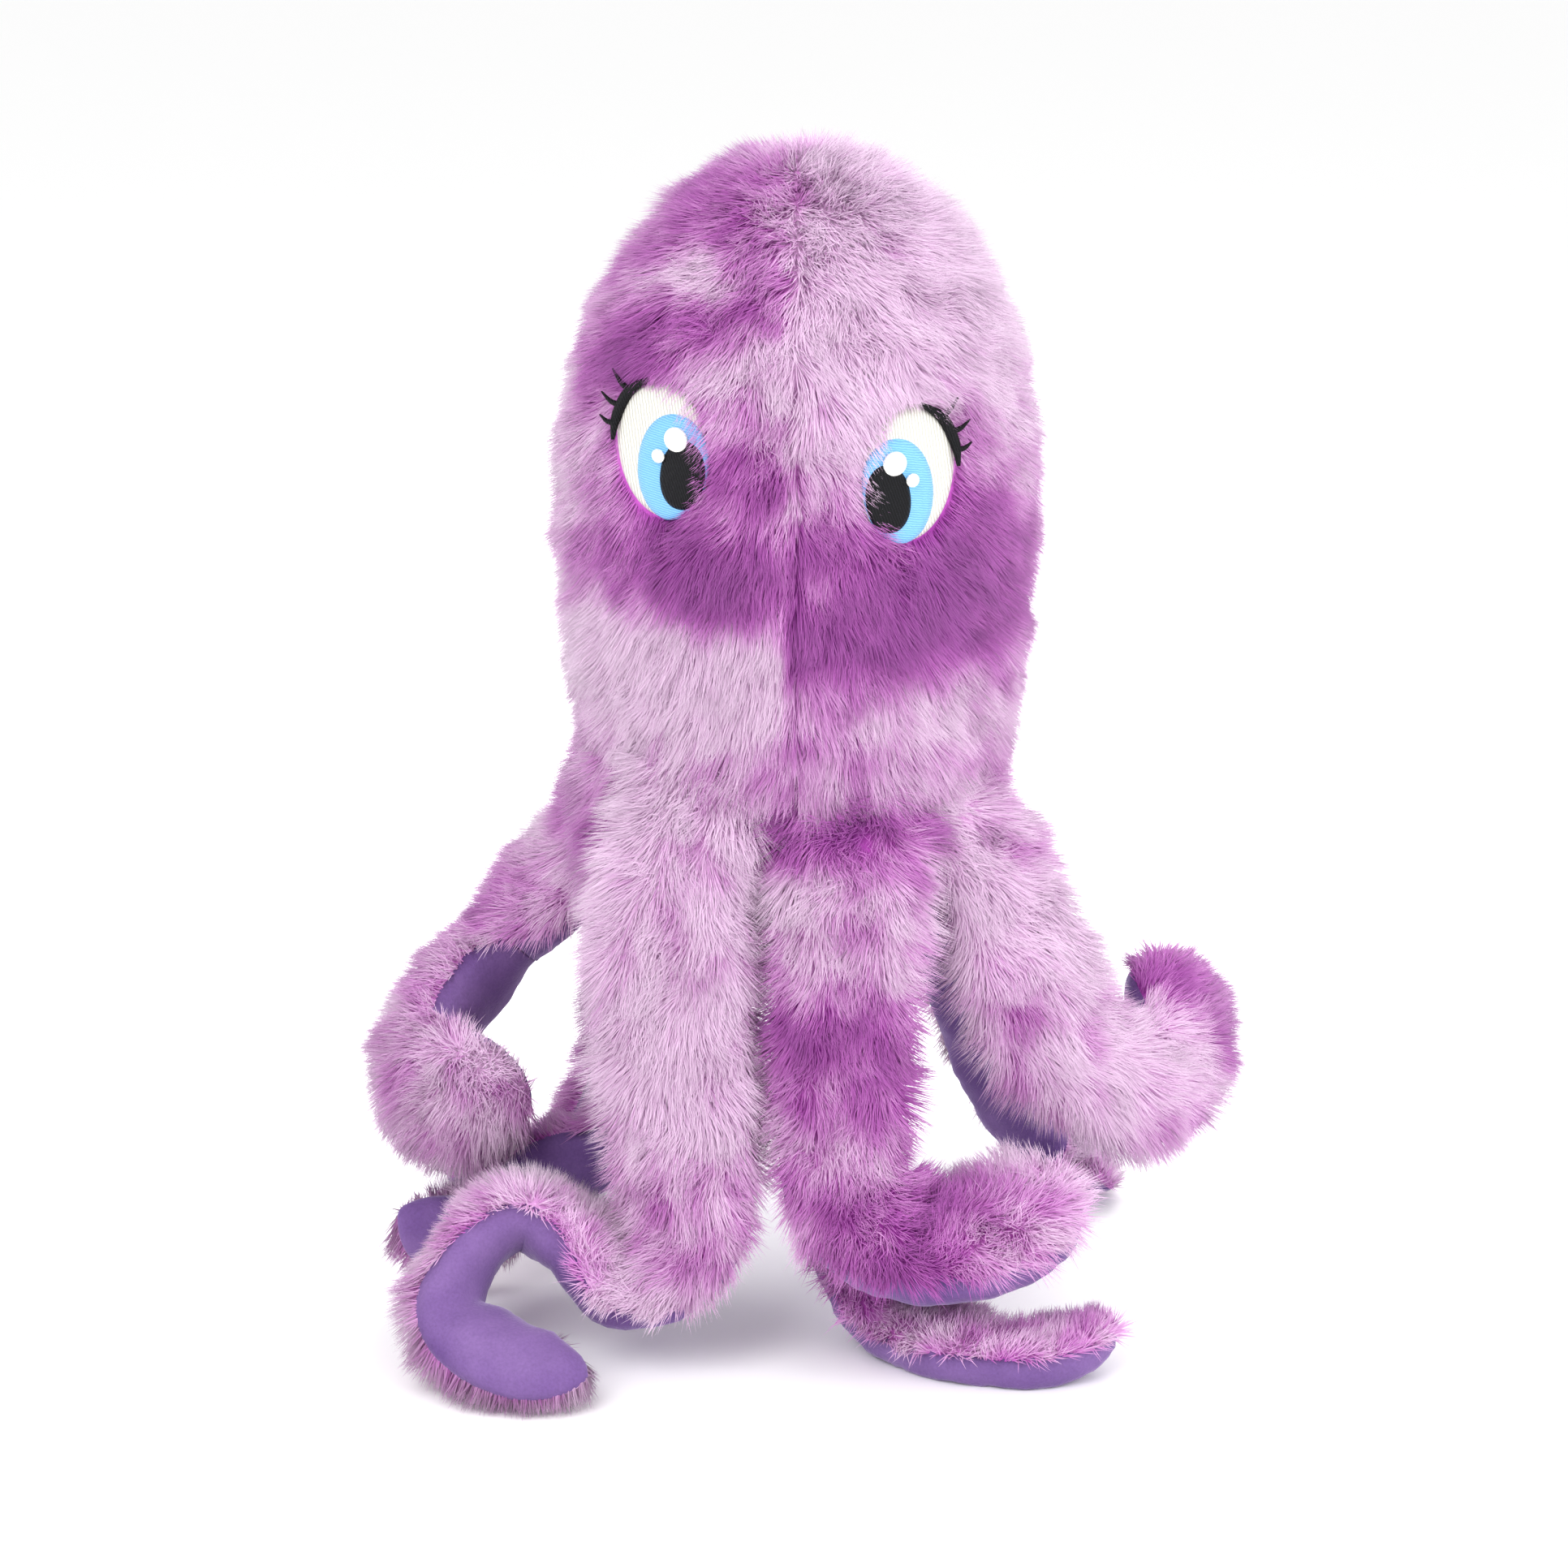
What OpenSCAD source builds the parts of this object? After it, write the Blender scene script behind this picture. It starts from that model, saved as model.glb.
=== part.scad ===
// Plush octopus: a furry domed head on eight soft arms, each arm faux fur on top and smooth velour below.

/* [Head] */
// Outer radius of the head at its widest
head_r = 57; // [50:1:60]
// Height of the head's lower edge above the floor
head_base_z = 139; // [138:1:150]
// Height of the top of the head above the floor
head_top_z = 286; // [270:1:300]
// Height at which the sides of the head turn into its dome
head_mid_z = 205; // [195:1:215]
// How far the head stands to the right of the middle
head_x = 3; // [0:1:5]
// How far the head draws in towards its lower edge
head_taper = 7; // [4:1:9]
// Thickness of the faux fur panels, pile and backing together
plush_t = 6; // [4:0.5:8]
// Gap between the sewn panels of the head
seam_gap = 0.3; // [0.1:0.1:0.6]

/* [Eyes] */
// Half the distance between the eye centres
eye_x = 28.3; // [24:0.1:34]
// Height of the eye centres above the floor
eye_z = 215.5; // [200:0.5:230]
// How much higher the left eye sits than the right one
eye_step = 5; // [0:0.5:6]
// How far the pair of eyes stands to the left of the head's middle
eye_left = 2.7; // [0:0.1:4]
// Height of the white of each eye
eye_h = 33; // [26:1:38]
// Width of the white of each eye
eye_w = 23; // [18:1:28]

/* [Arms] */
// Half width of an arm at its root
arm_w = 16; // [13:0.5:17]
// Height of an arm's furry side above its seam
fur_h = 12; // [9:0.5:13]
// Depth of an arm's velour side below its seam
velour_h = 7; // [5:0.5:8]
// Gap on each side of the bend in the middle of an arm
bend_gap = 2.5; // [2:0.1:3.5]

/* [Hidden] */
$fn = 64;
fur_pale = [0.88, 0.74, 0.88];
fur_mid = [0.78, 0.52, 0.78];
fur_dark = [0.6, 0.24, 0.6];
velour_tone = [0.45, 0.34, 0.66];
fill_tone = [0.94, 0.93, 0.9];
// Puts the origin under the middle of the whole toy, on the floor
shift = [-1.96, 13.97, 0];

// Arms, clockwise from the front left one seen from above.
// Each row is the centre line's x, y, z, the way the fur faces as x, y, z, and the size relative to the root.
arm_rows = [
    // 1: front left, its foot sweeps left in an arch and the tip comes back in front
    [[-18, -34, 130, -0.3, -1, 0.1, 0.85], [-25, -43, 108, -0.1, -1, 0.1, 1.05], [-25, -48, 80, 0, -1, 0.1, 1.05],
     [-23, -54, 52, 0, -1, 0.2, 1], [-24, -61, 30, -0.3, -0.9, 0.5, 1], [-38, -62, 19, -0.1, -0.3, 1, 0.95],
     [-52, -58, 28, 0.1, 0.2, 1, 0.92], [-64, -57, 33, -0.1, 0.4, 0.9, 0.86], [-74, -63, 27, -0.6, 0.5, 0.6, 0.8],
     [-78, -76, 17, -0.6, 0.6, -0.1, 0.76], [-66, -89, 11, -0.2, 0.5, -0.8, 0.72], [-46, -98, 9, -0.1, 0.5, -0.8, 0.6]],
    // 2: left front, low behind the first
    [[-36, -12, 130, -0.9, -0.3, 0.1, 0.85], [-36, -15, 106, -0.9, -0.3, 0.1, 0.9], [-34, -16, 80, -0.9, -0.2, 0.1, 0.9],
     [-34, -13, 54, -0.9, 0.1, 0.2, 0.85], [-43, -9, 35, -0.5, 0.8, 0.5, 0.8], [-60, -13, 28, -0.1, 0.9, 0.4, 0.76],
     [-78, -25, 17, -0.3, 0.8, 0.2, 0.74], [-95, -28, 24, -0.5, 0.7, -0.4, 0.66]],
    // 3: left, curled up clear of the floor with its tip turned forward
    [[-34, 17, 130, -0.9, 0.4, 0.1, 0.85], [-44, 18, 112, -0.8, 0, 0.5, 0.95], [-58, 17, 93, -0.5, -0.3, 0.7, 1],
     [-76, 11, 73, -0.6, 0.5, 0.6, 1], [-88, -5, 59, -1, 0.1, 0.3, 1], [-80, -22, 54, -0.4, -1, 0.1, 1],
     [-62, -28, 54, 0.1, -1, 0.1, 0.95]],
    // 4: rear left
    [[-12, 36, 130, -0.3, 0.9, 0.1, 0.85], [-20, 45, 108, -0.3, 0.9, 0.1, 1], [-28, 52, 80, -0.3, 0.9, 0.1, 0.95],
     [-35, 56, 52, -0.4, 0.9, 0.2, 0.9], [-42, 62, 25, -0.3, 0.7, 0.6, 0.85], [-57, 67, 7, 0, 0.3, 1, 0.75],
     [-75, 64, 4, 0, 0.1, 1, 0.65], [-88, 54, 4, 0, 0.1, 1, 0.55]],
    // 5: rear right
    [[17, 34, 130, 0.4, 0.9, 0.1, 0.85], [29, 44, 108, 0.4, 0.9, 0.1, 1], [40, 50, 80, 0.4, 0.9, 0.1, 0.95],
     [51, 54, 52, 0.4, 0.9, 0.2, 0.9], [60, 56, 27, 0.3, 0.8, 0.5, 0.85], [72, 54, 9, 0.1, 0.5, 0.9, 0.75],
     [86, 46, 4, 0.1, 0.3, 1, 0.6]],
    // 6: right, curled up clear of the floor with its tip turned back
    [[34, -17, 130, 0.8, -0.5, 0.2, 0.85], [47, -25, 112, 0.6, -0.8, 0.4, 0.95], [56, -31, 91, 0.4, -0.9, 0.3, 1],
     [67, -32, 69, 0.4, -0.9, 0.4, 1], [83, -26, 58, 0.6, -0.8, 0.3, 1], [95, -11, 64, 0.8, -0.6, 0.2, 0.98],
     [93, 5, 80, 0.6, -0.7, 0.3, 0.92]],
    // 7: right rear, passes under the head and its foot comes out in front, low under the eighth
    [[36, 12, 130, 0.9, 0.2, 0.2, 0.8], [27, 8, 112, 0.9, -0.1, 0.4, 0.8], [17, 2, 92, 0.8, -0.4, 0.4, 0.8],
     [12, -8, 68, 0.5, -0.8, 0.4, 0.8], [13, -20, 44, 0.2, -0.9, 0.4, 0.8], [17, -36, 22, 0, -0.8, 0.6, 0.8],
     [26, -56, 8, 0, -0.4, 1, 0.75], [42, -71, 5, -0.1, 0, 1, 0.7], [62, -76, 5, -0.1, 0.1, 1, 0.65],
     [79, -65, 9, 0, -0.1, 1, 0.55]],
    // 8: front right, its foot sweeps right over the seventh
    [[13, -36, 130, 0.1, -1, 0.1, 0.85], [15, -47, 110, 0, -1, 0.1, 0.95], [14, -51, 84, 0, -1, 0.1, 0.85],
     [13, -54, 58, 0, -1, 0.2, 0.9], [16, -61, 39, 0, -0.9, 0.5, 1], [32, -67, 30, 0, -0.5, 0.9, 1.02],
     [51, -65, 32, 0.1, -0.4, 0.9, 1], [68, -54, 43, 0.3, -0.5, 0.9, 0.9]]];
// Row at which each arm bends
bend_rows = [3, 3, 3, 3, 3, 3, 4, 3];

// Vector helpers and a smooth curve through the rows
function unit(v) = v / norm(v);
function clampi(i, n) = max(0, min(n - 1, i));
function curve(rows, u) =
    let (n = len(rows), i = clampi(floor(u), n - 1), f = u - i,
        a = rows[clampi(i - 1, n)], b = rows[i], c = rows[clampi(i + 1, n)], d = rows[clampi(i + 2, n)])
    0.5 * (2 * b + (c - a) * f + (2 * a - 5 * b + 4 * c - d) * f * f + (3 * b - a - 3 * c + d) * f * f * f);
function xyz(q) = [q[0], q[1], q[2]];
function ring_at(rows, u) =
    let (q = curve(rows, u), e = 0.04, n = len(rows) - 1,
        t = unit(xyz(curve(rows, min(n, u + e))) - xyz(curve(rows, max(0, u - e)))),
        s = unit(cross([q[3], q[4], q[5]], t)))
    [xyz(q), t, s, cross(t, s), q[6]];
// Rings of one stretch of arm; a free end gets two more rings that round it off
function stretch(rows, u0, u1, count, round_end) =
    let (rings = [for (k = [0:count]) ring_at(rows, u0 + (u1 - u0) * k / count)],
        z = rings[count], r = z[4] * arm_w)
    round_end ? concat(rings, [for (p = [[0.45, 0.86], [0.75, 0.5]]) [z[0] + z[1] * r * p[0], z[1], z[2], z[3], z[4] * p[1]]]) : rings;
// Points of one ring; a point's third number is the lowest height it may have, so feet lie flat on the floor
function place_ring(ring, pts) = [for (p = pts)
    let (q = ring[0] + ring[4] * (ring[2] * p[0] + ring[3] * p[1])) [q[0], q[1], max(q[2], p[2])]];

steps = 5;
function arc(w, h, lift, low, back = false) =
    [for (k = [0:steps]) let (a = 180 * (back ? steps - k : k) / steps) [w * cos(a), h * sin(a) + lift, low]];
function fur_section() = concat(arc(arm_w, fur_h, 0.2, 1.3), arc(arm_w - 5, fur_h - 5, 0.2, 2.3, true));
function velour_section() = concat(arc(arm_w - 1, -velour_h, -0.2, 0), arc(arm_w - 5, -velour_h + 2, -0.2, 1, true));
function fill_section() = concat(arc(arm_w - 6.2, fur_h - 6.2, 0, 3),
    [for (k = [1:steps - 1]) let (a = 180 + 180 * k / steps) [(arm_w - 6.2) * cos(a), (velour_h - 3) * sin(a), 3]]);

module sweep(rings, section) {
    m = len(section);
    n = len(rings);
    pts = [for (r = rings) each place_ring(r, section)];
    flip = section[1][1] < section[0][1];
    sides = [for (i = [0:n - 2], j = [0:m - 1]) let (a = i * m + j, b = i * m + (j + 1) % m)
        each [[a, b, a + m], [b, b + m, a + m]]];
    cap0 = [for (j = [0:m - 1]) m - 1 - j];
    cap1 = [for (j = [0:m - 1]) (n - 1) * m + j];
    faces = concat(sides, [cap0, cap1]);
    polyhedron(pts, flip ? faces : [for (f = faces) [for (k = [len(f) - 1:-1:0]) f[k]]], convexity = 6);
}

// One piece of arm i: part 0 is the fur, 1 the velour, 2 the stuffing
module arm_piece(i, tip, part) {
    rows = arm_rows[i];
    j = bend_rows[i];
    last = len(rows) - 1;
    g0 = bend_gap / norm(xyz(rows[j]) - xyz(rows[j - 1]));
    g1 = bend_gap / norm(xyz(rows[j + 1]) - xyz(rows[j]));
    section = part == 0 ? fur_section() : part == 1 ? velour_section() : fill_section();
    rings = tip ? stretch(rows, j + g1, last, 2 * (last - j), true) : stretch(rows, 0, j - g0, 5, false);
    translate(shift) sweep(rings, section);
}

// Head outline as [radius, height] pairs, drawn in by t all round: nearly straight sides under a dome
function head_outline(t) =
    let (r = head_r - t, side = head_mid_z - head_base_z, dome = head_top_z - head_mid_z - t)
    concat([for (k = [0:7]) let (f = 1 - k / 8) [r - head_taper * pow(f, 2.2), head_mid_z - side * f]],
        [for (k = [0:14]) let (a = 90 * k / 14) [k == 14 ? 0 : r * cos(a), head_mid_z + dome * sin(a)]]);
// One quarter of the head's furry shell, from angle a0
module head_panel(a0) {
    intersection() {
        difference() {
            rotate_extrude() polygon(concat([[0, head_base_z]], head_outline(0)));
            translate([0, 0, -0.01]) rotate_extrude() polygon(concat([[0, head_base_z]], head_outline(plush_t)));
        }
        rotate([0, 0, a0]) translate([seam_gap / 2, seam_gap / 2, head_base_z - 5]) cube([80, 80, 200]);
    }
}
module head_core() {
    rotate_extrude() polygon(concat([[0, head_base_z + 3.3]],
        [for (p = head_outline(plush_t + 0.4)) if (p[1] > head_base_z + 3.3) p]));
}
// A slab that follows the front of the head between two depths outside its surface
module face_layer(x, z, w, h, d0, d1) {
    translate(shift + [head_x, 0, 0]) intersection() {
        translate([x, 0, z]) rotate([90, 0, 0]) linear_extrude(head_r + 10) eye_shape(w, h);
        difference() {
            rotate_extrude() polygon(concat([[0, head_base_z]], head_outline(-d1)));
            rotate_extrude() polygon(concat([[0, head_base_z - 1]], head_outline(-d0)));
        }
    }
}
// Outline of an eye: a tall round-cornered oval
module eye_shape(w, h) {
    r = w / 2;
    union() {
        translate([0, h / 2 - r]) circle(r);
        translate([0, r - h / 2]) circle(r);
        translate([-r, r - h / 2]) square([w, h - w]);
    }
}
// Where an eye sits: side is -1 for the left one and 1 for the right one
function eye_at_x(side, inward) = side * (eye_x - inward) - eye_left;
function eye_at_z(side, drop) = eye_z - side * eye_step / 2 - drop;
module eye_white(side) { color([0.94, 0.93, 0.9]) face_layer(eye_at_x(side, 0), eye_at_z(side, 0), eye_w, eye_h, 0.3, 1.3); }
module eye_iris(side) { color([0.43, 0.69, 0.9]) face_layer(eye_at_x(side, 2.3), eye_at_z(side, 3.4), eye_w * 0.72, eye_h * 0.7, 1.5, 2.3); }
module eye_pupil(side) { color([0.1, 0.1, 0.11]) face_layer(eye_at_x(side, 4.4), eye_at_z(side, 4.8), eye_w * 0.46, eye_h * 0.48, 2.5, 3.1); }

module head_front_left() { color(fur_mid) translate(shift + [head_x, 0, 0]) head_panel(180); }
module head_front_right() { color(fur_pale) translate(shift + [head_x, 0, 0]) head_panel(270); }
module head_back_left() { color(fur_mid) translate(shift + [head_x, 0, 0]) head_panel(90); }
module head_back_right() { color(fur_pale) translate(shift + [head_x, 0, 0]) head_panel(0); }
module head_base() { color(velour_tone) translate(shift + [head_x, 0, head_base_z]) cylinder(r = head_r - head_taper - plush_t - 0.6, h = 3); }
module head_fill() { color(fill_tone) translate(shift + [head_x, 0, 0]) head_core(); }
module eye_left_white() { eye_white(-1); }
module eye_left_iris() { eye_iris(-1); }
module eye_left_pupil() { eye_pupil(-1); }
module eye_right_white() { eye_white(1); }
module eye_right_iris() { eye_iris(1); }
module eye_right_pupil() { eye_pupil(1); }
module arm1_upper_fur() { color(fur_pale) arm_piece(0, false, 0); }
module arm1_upper_velour() { color(velour_tone) arm_piece(0, false, 1); }
module arm1_upper_fill() { color(fill_tone) arm_piece(0, false, 2); }
module arm1_tip_fur() { color(fur_pale) arm_piece(0, true, 0); }
module arm1_tip_velour() { color(velour_tone) arm_piece(0, true, 1); }
module arm1_tip_fill() { color(fill_tone) arm_piece(0, true, 2); }
module arm2_upper_fur() { color(fur_mid) arm_piece(1, false, 0); }
module arm2_upper_velour() { color(velour_tone) arm_piece(1, false, 1); }
module arm2_upper_fill() { color(fill_tone) arm_piece(1, false, 2); }
module arm2_tip_fur() { color(fur_mid) arm_piece(1, true, 0); }
module arm2_tip_velour() { color(velour_tone) arm_piece(1, true, 1); }
module arm2_tip_fill() { color(fill_tone) arm_piece(1, true, 2); }
module arm3_upper_fur() { color(fur_pale) arm_piece(2, false, 0); }
module arm3_upper_velour() { color(velour_tone) arm_piece(2, false, 1); }
module arm3_upper_fill() { color(fill_tone) arm_piece(2, false, 2); }
module arm3_tip_fur() { color(fur_pale) arm_piece(2, true, 0); }
module arm3_tip_velour() { color(velour_tone) arm_piece(2, true, 1); }
module arm3_tip_fill() { color(fill_tone) arm_piece(2, true, 2); }
module arm4_upper_fur() { color(fur_mid) arm_piece(3, false, 0); }
module arm4_upper_velour() { color(velour_tone) arm_piece(3, false, 1); }
module arm4_upper_fill() { color(fill_tone) arm_piece(3, false, 2); }
module arm4_tip_fur() { color(fur_mid) arm_piece(3, true, 0); }
module arm4_tip_velour() { color(velour_tone) arm_piece(3, true, 1); }
module arm4_tip_fill() { color(fill_tone) arm_piece(3, true, 2); }
module arm5_upper_fur() { color(fur_dark) arm_piece(4, false, 0); }
module arm5_upper_velour() { color(velour_tone) arm_piece(4, false, 1); }
module arm5_upper_fill() { color(fill_tone) arm_piece(4, false, 2); }
module arm5_tip_fur() { color(fur_dark) arm_piece(4, true, 0); }
module arm5_tip_velour() { color(velour_tone) arm_piece(4, true, 1); }
module arm5_tip_fill() { color(fill_tone) arm_piece(4, true, 2); }
module arm6_upper_fur() { color(fur_pale) arm_piece(5, false, 0); }
module arm6_upper_velour() { color(velour_tone) arm_piece(5, false, 1); }
module arm6_upper_fill() { color(fill_tone) arm_piece(5, false, 2); }
module arm6_tip_fur() { color(fur_pale) arm_piece(5, true, 0); }
module arm6_tip_velour() { color(velour_tone) arm_piece(5, true, 1); }
module arm6_tip_fill() { color(fill_tone) arm_piece(5, true, 2); }
module arm7_upper_fur() { color(fur_mid) arm_piece(6, false, 0); }
module arm7_upper_velour() { color(velour_tone) arm_piece(6, false, 1); }
module arm7_upper_fill() { color(fill_tone) arm_piece(6, false, 2); }
module arm7_tip_fur() { color(fur_mid) arm_piece(6, true, 0); }
module arm7_tip_velour() { color(velour_tone) arm_piece(6, true, 1); }
module arm7_tip_fill() { color(fill_tone) arm_piece(6, true, 2); }
module arm8_upper_fur() { color(fur_dark) arm_piece(7, false, 0); }
module arm8_upper_velour() { color(velour_tone) arm_piece(7, false, 1); }
module arm8_upper_fill() { color(fill_tone) arm_piece(7, false, 2); }
module arm8_tip_fur() { color(fur_dark) arm_piece(7, true, 0); }
module arm8_tip_velour() { color(velour_tone) arm_piece(7, true, 1); }
module arm8_tip_fill() { color(fill_tone) arm_piece(7, true, 2); }

head_front_left();
head_front_right();
head_back_left();
head_back_right();
head_base();
head_fill();
eye_left_white();
eye_left_iris();
eye_left_pupil();
eye_right_white();
eye_right_iris();
eye_right_pupil();
arm1_upper_fur();
arm1_upper_velour();
arm1_upper_fill();
arm1_tip_fur();
arm1_tip_velour();
arm1_tip_fill();
arm2_upper_fur();
arm2_upper_velour();
arm2_upper_fill();
arm2_tip_fur();
arm2_tip_velour();
arm2_tip_fill();
arm3_upper_fur();
arm3_upper_velour();
arm3_upper_fill();
arm3_tip_fur();
arm3_tip_velour();
arm3_tip_fill();
arm4_upper_fur();
arm4_upper_velour();
arm4_upper_fill();
arm4_tip_fur();
arm4_tip_velour();
arm4_tip_fill();
arm5_upper_fur();
arm5_upper_velour();
arm5_upper_fill();
arm5_tip_fur();
arm5_tip_velour();
arm5_tip_fill();
arm6_upper_fur();
arm6_upper_velour();
arm6_upper_fill();
arm6_tip_fur();
arm6_tip_velour();
arm6_tip_fill();
arm7_upper_fur();
arm7_upper_velour();
arm7_upper_fill();
arm7_tip_fur();
arm7_tip_velour();
arm7_tip_fill();
arm8_upper_fur();
arm8_upper_velour();
arm8_upper_fill();
arm8_tip_fur();
arm8_tip_velour();
arm8_tip_fill();
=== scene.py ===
# Plush octopus: tie-dye faux fur on top, smooth violet velour below, embroidered eyes
import math

import bmesh
import bpy
import numpy as np
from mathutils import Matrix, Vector, noise


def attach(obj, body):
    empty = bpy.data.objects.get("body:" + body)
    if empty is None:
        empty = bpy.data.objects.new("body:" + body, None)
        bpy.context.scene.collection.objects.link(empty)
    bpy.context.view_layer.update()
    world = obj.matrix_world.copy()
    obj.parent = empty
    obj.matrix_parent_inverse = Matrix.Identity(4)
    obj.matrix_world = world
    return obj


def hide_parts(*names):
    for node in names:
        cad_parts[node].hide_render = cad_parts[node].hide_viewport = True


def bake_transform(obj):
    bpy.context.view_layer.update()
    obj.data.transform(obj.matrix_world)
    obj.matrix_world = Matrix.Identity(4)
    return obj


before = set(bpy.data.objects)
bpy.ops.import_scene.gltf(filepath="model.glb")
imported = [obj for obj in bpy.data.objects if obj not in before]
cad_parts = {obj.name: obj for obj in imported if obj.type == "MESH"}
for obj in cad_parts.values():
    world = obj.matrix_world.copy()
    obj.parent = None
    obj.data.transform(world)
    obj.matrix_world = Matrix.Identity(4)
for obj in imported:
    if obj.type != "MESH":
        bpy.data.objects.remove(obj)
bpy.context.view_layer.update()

mm = 0.001
shift = np.array([-1.96, 13.97, 0.0])  # same shift as the CAD model

# camera, light, floor
cameraSettings = {"aimAt": (-1.96, 13.97, 126.0), "distance": 1200.0, "elevation": 15.0, "lens": 111.8}


def placeCamera(s):
    data = bpy.data.cameras.new("camera")
    camera = bpy.data.objects.new("camera", data)
    bpy.context.collection.objects.link(camera)
    data.lens = s["lens"]
    data.sensor_width = 36
    data.clip_start = 0.05
    a = math.radians(s["elevation"])
    aim = Vector(s["aimAt"]) * mm
    camera.location = aim + Vector((0, -math.cos(a), math.sin(a))) * s["distance"] * mm
    camera.rotation_euler = (math.radians(90) - a, 0, 0)
    bpy.context.scene.camera = camera


placeCamera(cameraSettings)

lightSettings = {
    "key": {"at": (-0.55, -0.9, 0.95), "size": 0.9, "power": 9.5},
    "fill": {"at": (0.95, -0.7, 0.55), "size": 1.2, "power": 8.0},
    "back": {"at": (0.2, 0.9, 0.9), "size": 0.9, "power": 9.0},
    "world": 0.99,
}


def softLight(name, s):
    data = bpy.data.lights.new(name, "AREA")
    data.shape = "DISK"
    data.size = s["size"]
    data.energy = s["power"]
    lamp = bpy.data.objects.new(name, data)
    bpy.context.collection.objects.link(lamp)
    lamp.location = s["at"]
    lamp.rotation_euler = (Vector((0, 0, 0.12)) - Vector(s["at"])).to_track_quat("-Z", "Y").to_euler()


for lampName in ("key", "fill", "back"):
    softLight(lampName, lightSettings[lampName])
world = bpy.data.worlds.new("studio")
world.use_nodes = True
world.node_tree.nodes["Background"].inputs["Color"].default_value = (1, 1, 1, 1)
world.node_tree.nodes["Background"].inputs["Strength"].default_value = lightSettings["world"]
bpy.context.scene.world = world
bpy.context.scene.view_settings.view_transform = "Standard"


def clearSelection():
    if bpy.context.object and bpy.context.object.mode != "OBJECT":
        bpy.ops.object.mode_set(mode="OBJECT")
    bpy.ops.object.select_all(action="DESELECT")


# small helpers
def plainMaterial(name, color, roughness=0.8, sheen=0.0, specular=0.3):
    m = bpy.data.materials.new(name)
    m.use_nodes = True
    b = m.node_tree.nodes["Principled BSDF"]
    b.inputs["Base Color"].default_value = (*color, 1)
    b.inputs["Roughness"].default_value = roughness
    b.inputs["Specular IOR Level"].default_value = specular
    b.inputs["Sheen Weight"].default_value = sheen
    b.inputs["Sheen Roughness"].default_value = 0.4
    return m


def toLinear(r, g, b):
    f = lambda c: c / 12.92 if c <= 0.04045 else ((c + 0.055) / 1.055) ** 2.4
    return (f(r / 255), f(g / 255), f(b / 255))


clearSelection()
bpy.ops.mesh.primitive_plane_add(size=30, location=(0, 0, 0))
floor = bpy.context.object
floor.name = "floor"
floor.data.materials.append(plainMaterial("floorPaint", (0.975, 0.975, 0.975), 0.7))
print("camera, lights and floor placed")

# dye colours and the painted highlight for the tips of the pile, shared by every furry piece
dyeAndPaintedLight = {
    "pale": toLinear(252, 223, 249),
    "orchid": toLinear(228, 160, 224),
    "magenta": toLinear(194, 84, 192),
    "plum": toLinear(158, 52, 160),
    "tipHighlight": toLinear(255, 236, 255),  # painted highlight: the light on the tips of the pile
    # patches on the front of the head: x, z, half width, half height, and darker or paler
    "facePatches": [
        (-16, 268, 17, 14, 0.5), (-34, 250, 13, 12, 0.1), (-24, 258, 12, 5, -0.4), (-37, 238, 12, 12, 0.9),
        (-14, 247, 14, 4, 0.35), (-7, 234, 12, 9, -0.45), (-9, 216, 9, 12, 0.55), (22, 262, 28, 24, -0.5),
        (40, 240, 15, 20, -0.35), (13, 234, 13, 12, -0.3), (34, 226, 14, 5, 0.15), (-54, 205, 9, 30, -0.35),
        (-34, 192, 24, 13, 0.55), (-12, 186, 14, 14, 0.45), (24, 188, 24, 15, 0.75), (48, 190, 15, 15, 0.55),
        (8, 175, 12, 14, 0.55), (36, 172, 20, 9, 0.5), (10, 208, 9, 14, -0.25), (-24, 162, 24, 11, -0.9), (-26, 176, 14, 5, -0.15),
        (42, 156, 16, 8, -0.2), (56, 222, 7, 26, -0.1), (-46, 172, 10, 10, -0.2),
    ],
    # bands along each arm: place along the arm from 0 at the root to 1 at the tip, width, darker or paler
    "armBands": [
        [(0.0, 0.12, -0.45), (0.16, 0.06, -0.1), (0.25, 0.12, -0.4), (0.4, 0.06, 0.1), (0.55, 0.1, -0.3), (0.72, 0.1, 0.05), (0.95, 0.1, 0.05)],
        [(0.1, 0.1, 0.3), (0.5, 0.1, 0.35), (0.75, 0.1, 0.2), (0.95, 0.08, 0.0)],
        [(0.1, 0.1, 0.2), (0.35, 0.1, 0.3), (0.55, 0.1, -0.1), (0.75, 0.08, 0.05), (0.92, 0.08, -0.25)],
        [(0.1, 0.1, 0.3), (0.4, 0.1, -0.3), (0.7, 0.1, 0.35)],
        [(0.1, 0.1, -0.3), (0.35, 0.12, 0.35), (0.7, 0.1, -0.2)],
        [(0.05, 0.08, -0.1), (0.3, 0.14, -0.4), (0.5, 0.06, 0.15), (0.65, 0.1, -0.3), (0.9, 0.12, 0.55)],
        [(0.1, 0.1, 0.4), (0.45, 0.1, 0.4), (0.75, 0.1, 0.1)],
        [(0.04, 0.06, 0.55), (0.16, 0.08, -0.35), (0.36, 0.12, 0.6), (0.5, 0.07, -0.05), (0.62, 0.07, 0.3), (0.74, 0.09, 0.65), (0.92, 0.07, -0.25)],
    ],
}


def smoothNoise(points, scale, seed=0):
    off = Vector((seed * 13.7, seed * 7.3, seed * 3.1))
    return np.array([noise.noise(Vector(p) * scale + off) for p in points])


def smoothNoiseVector(points, scale, seed=0):
    off = Vector((seed * 13.7, seed * 7.3, seed * 3.1))
    return np.array([noise.noise_vector(Vector(p) * scale + off) for p in points])


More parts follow.
